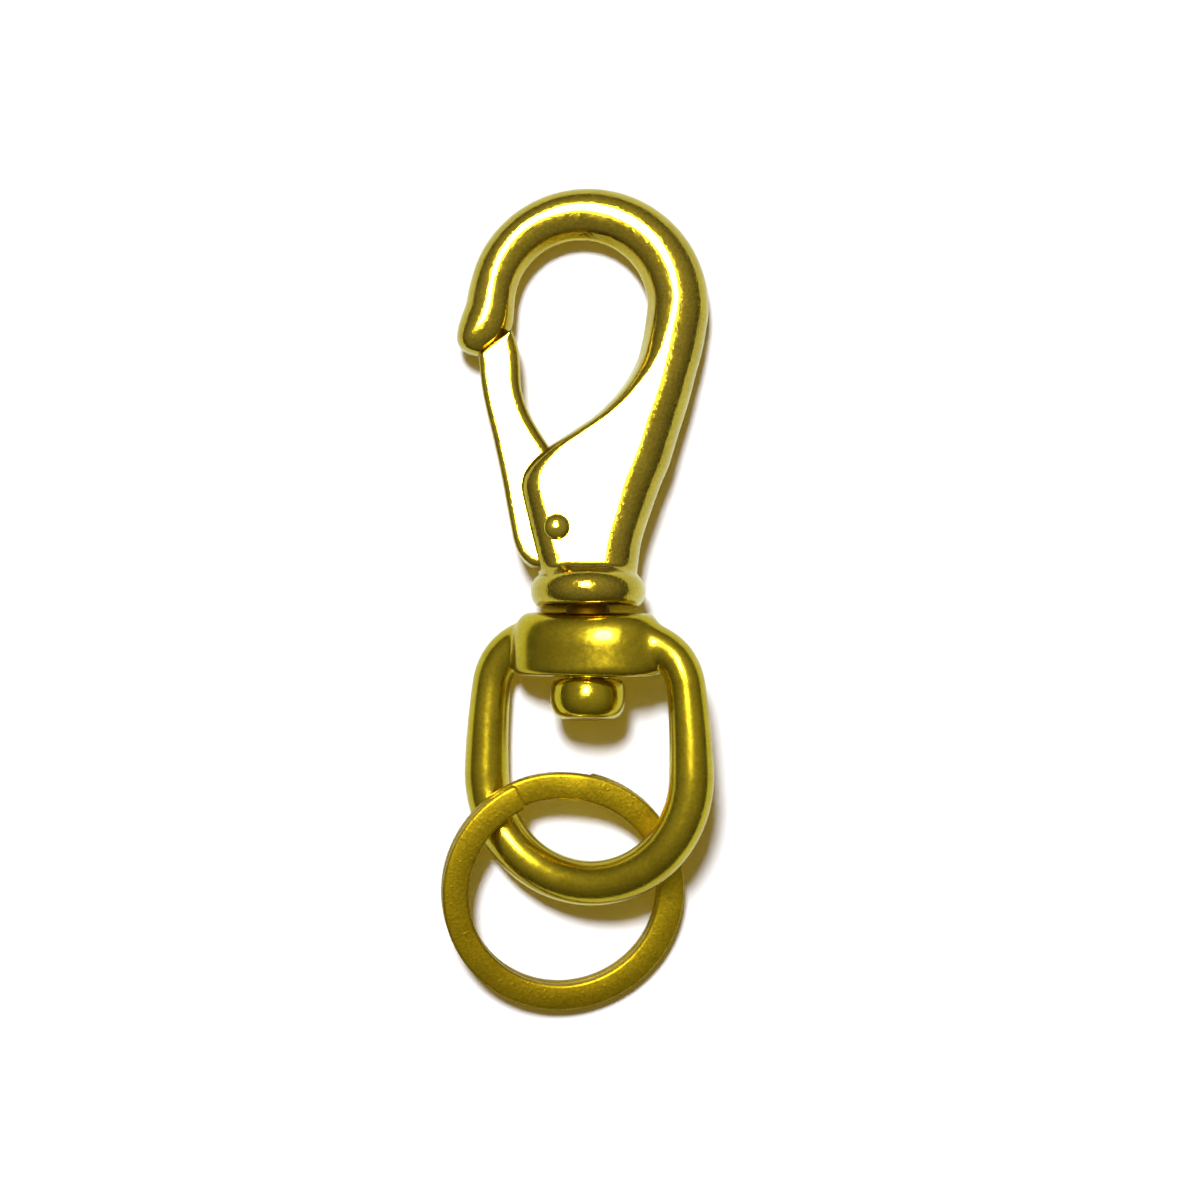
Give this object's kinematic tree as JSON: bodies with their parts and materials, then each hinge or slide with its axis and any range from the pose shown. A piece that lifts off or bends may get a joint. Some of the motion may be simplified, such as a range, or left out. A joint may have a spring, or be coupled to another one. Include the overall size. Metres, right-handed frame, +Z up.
{
  "type": "key hook",
  "caption": "Swivel snap hook of cast brass with a sprung gate, a round-wire eye that turns on a headed stud, and a flat split ring for keys hanging in the eye.",
  "frame": {"origin": "middle of the outline's box, on the table that the hook lies on", "axes": "+X to the right across the hook, +Y along it from the split ring towards the hook's crown, +Z up off the table, towards the camera"},
  "size_m": [0.0388, 0.118, 0.0169],
  "materials": {
    "cast_brass": "cast, tumbled to a soft shine, with fine sand pits",
    "bright_brass": "polished",
    "satin_brass": "satin",
    "spring_brass": "drawn wire"
  },
  "bodies": {
    "hook": {"hook_body": "cast_brass", "swivel_stud": "bright_brass", "gate_rivet": "bright_brass", "gate_spring": "spring_brass"},
    "gate": {"gate": "bright_brass"},
    "eye": {"swivel_eye": "cast_brass"},
    "ring": {"split_ring": "satin_brass"}
  },
  "joints": [
    {"name": "gate_pivot", "type": "hinge", "parent": "hook", "child": "gate", "pos_m": [-0.00279, 0.00977, 0.00733], "axis": [0, -0.0912, -0.9958], "range_deg": [0, 30], "stiffness_Nm_per_rad": 0.016, "springref_deg": -51.57, "deforming": ["gate_spring"]},
    {"name": "eye_swivel", "type": "hinge", "parent": "hook", "child": "eye", "pos_m": [0.00161, -0.00639, 0.00881], "axis": [0, 0.9998, 0.0175], "continuous": true},
    {"name": "ring_swing", "type": "hinge", "parent": "eye", "child": "ring", "pos_m": [-0.00199, -0.04165, 0.00542], "axis": [0.3122, 0.9412, 0.129], "range_deg": [0, 115]}
  ]
}
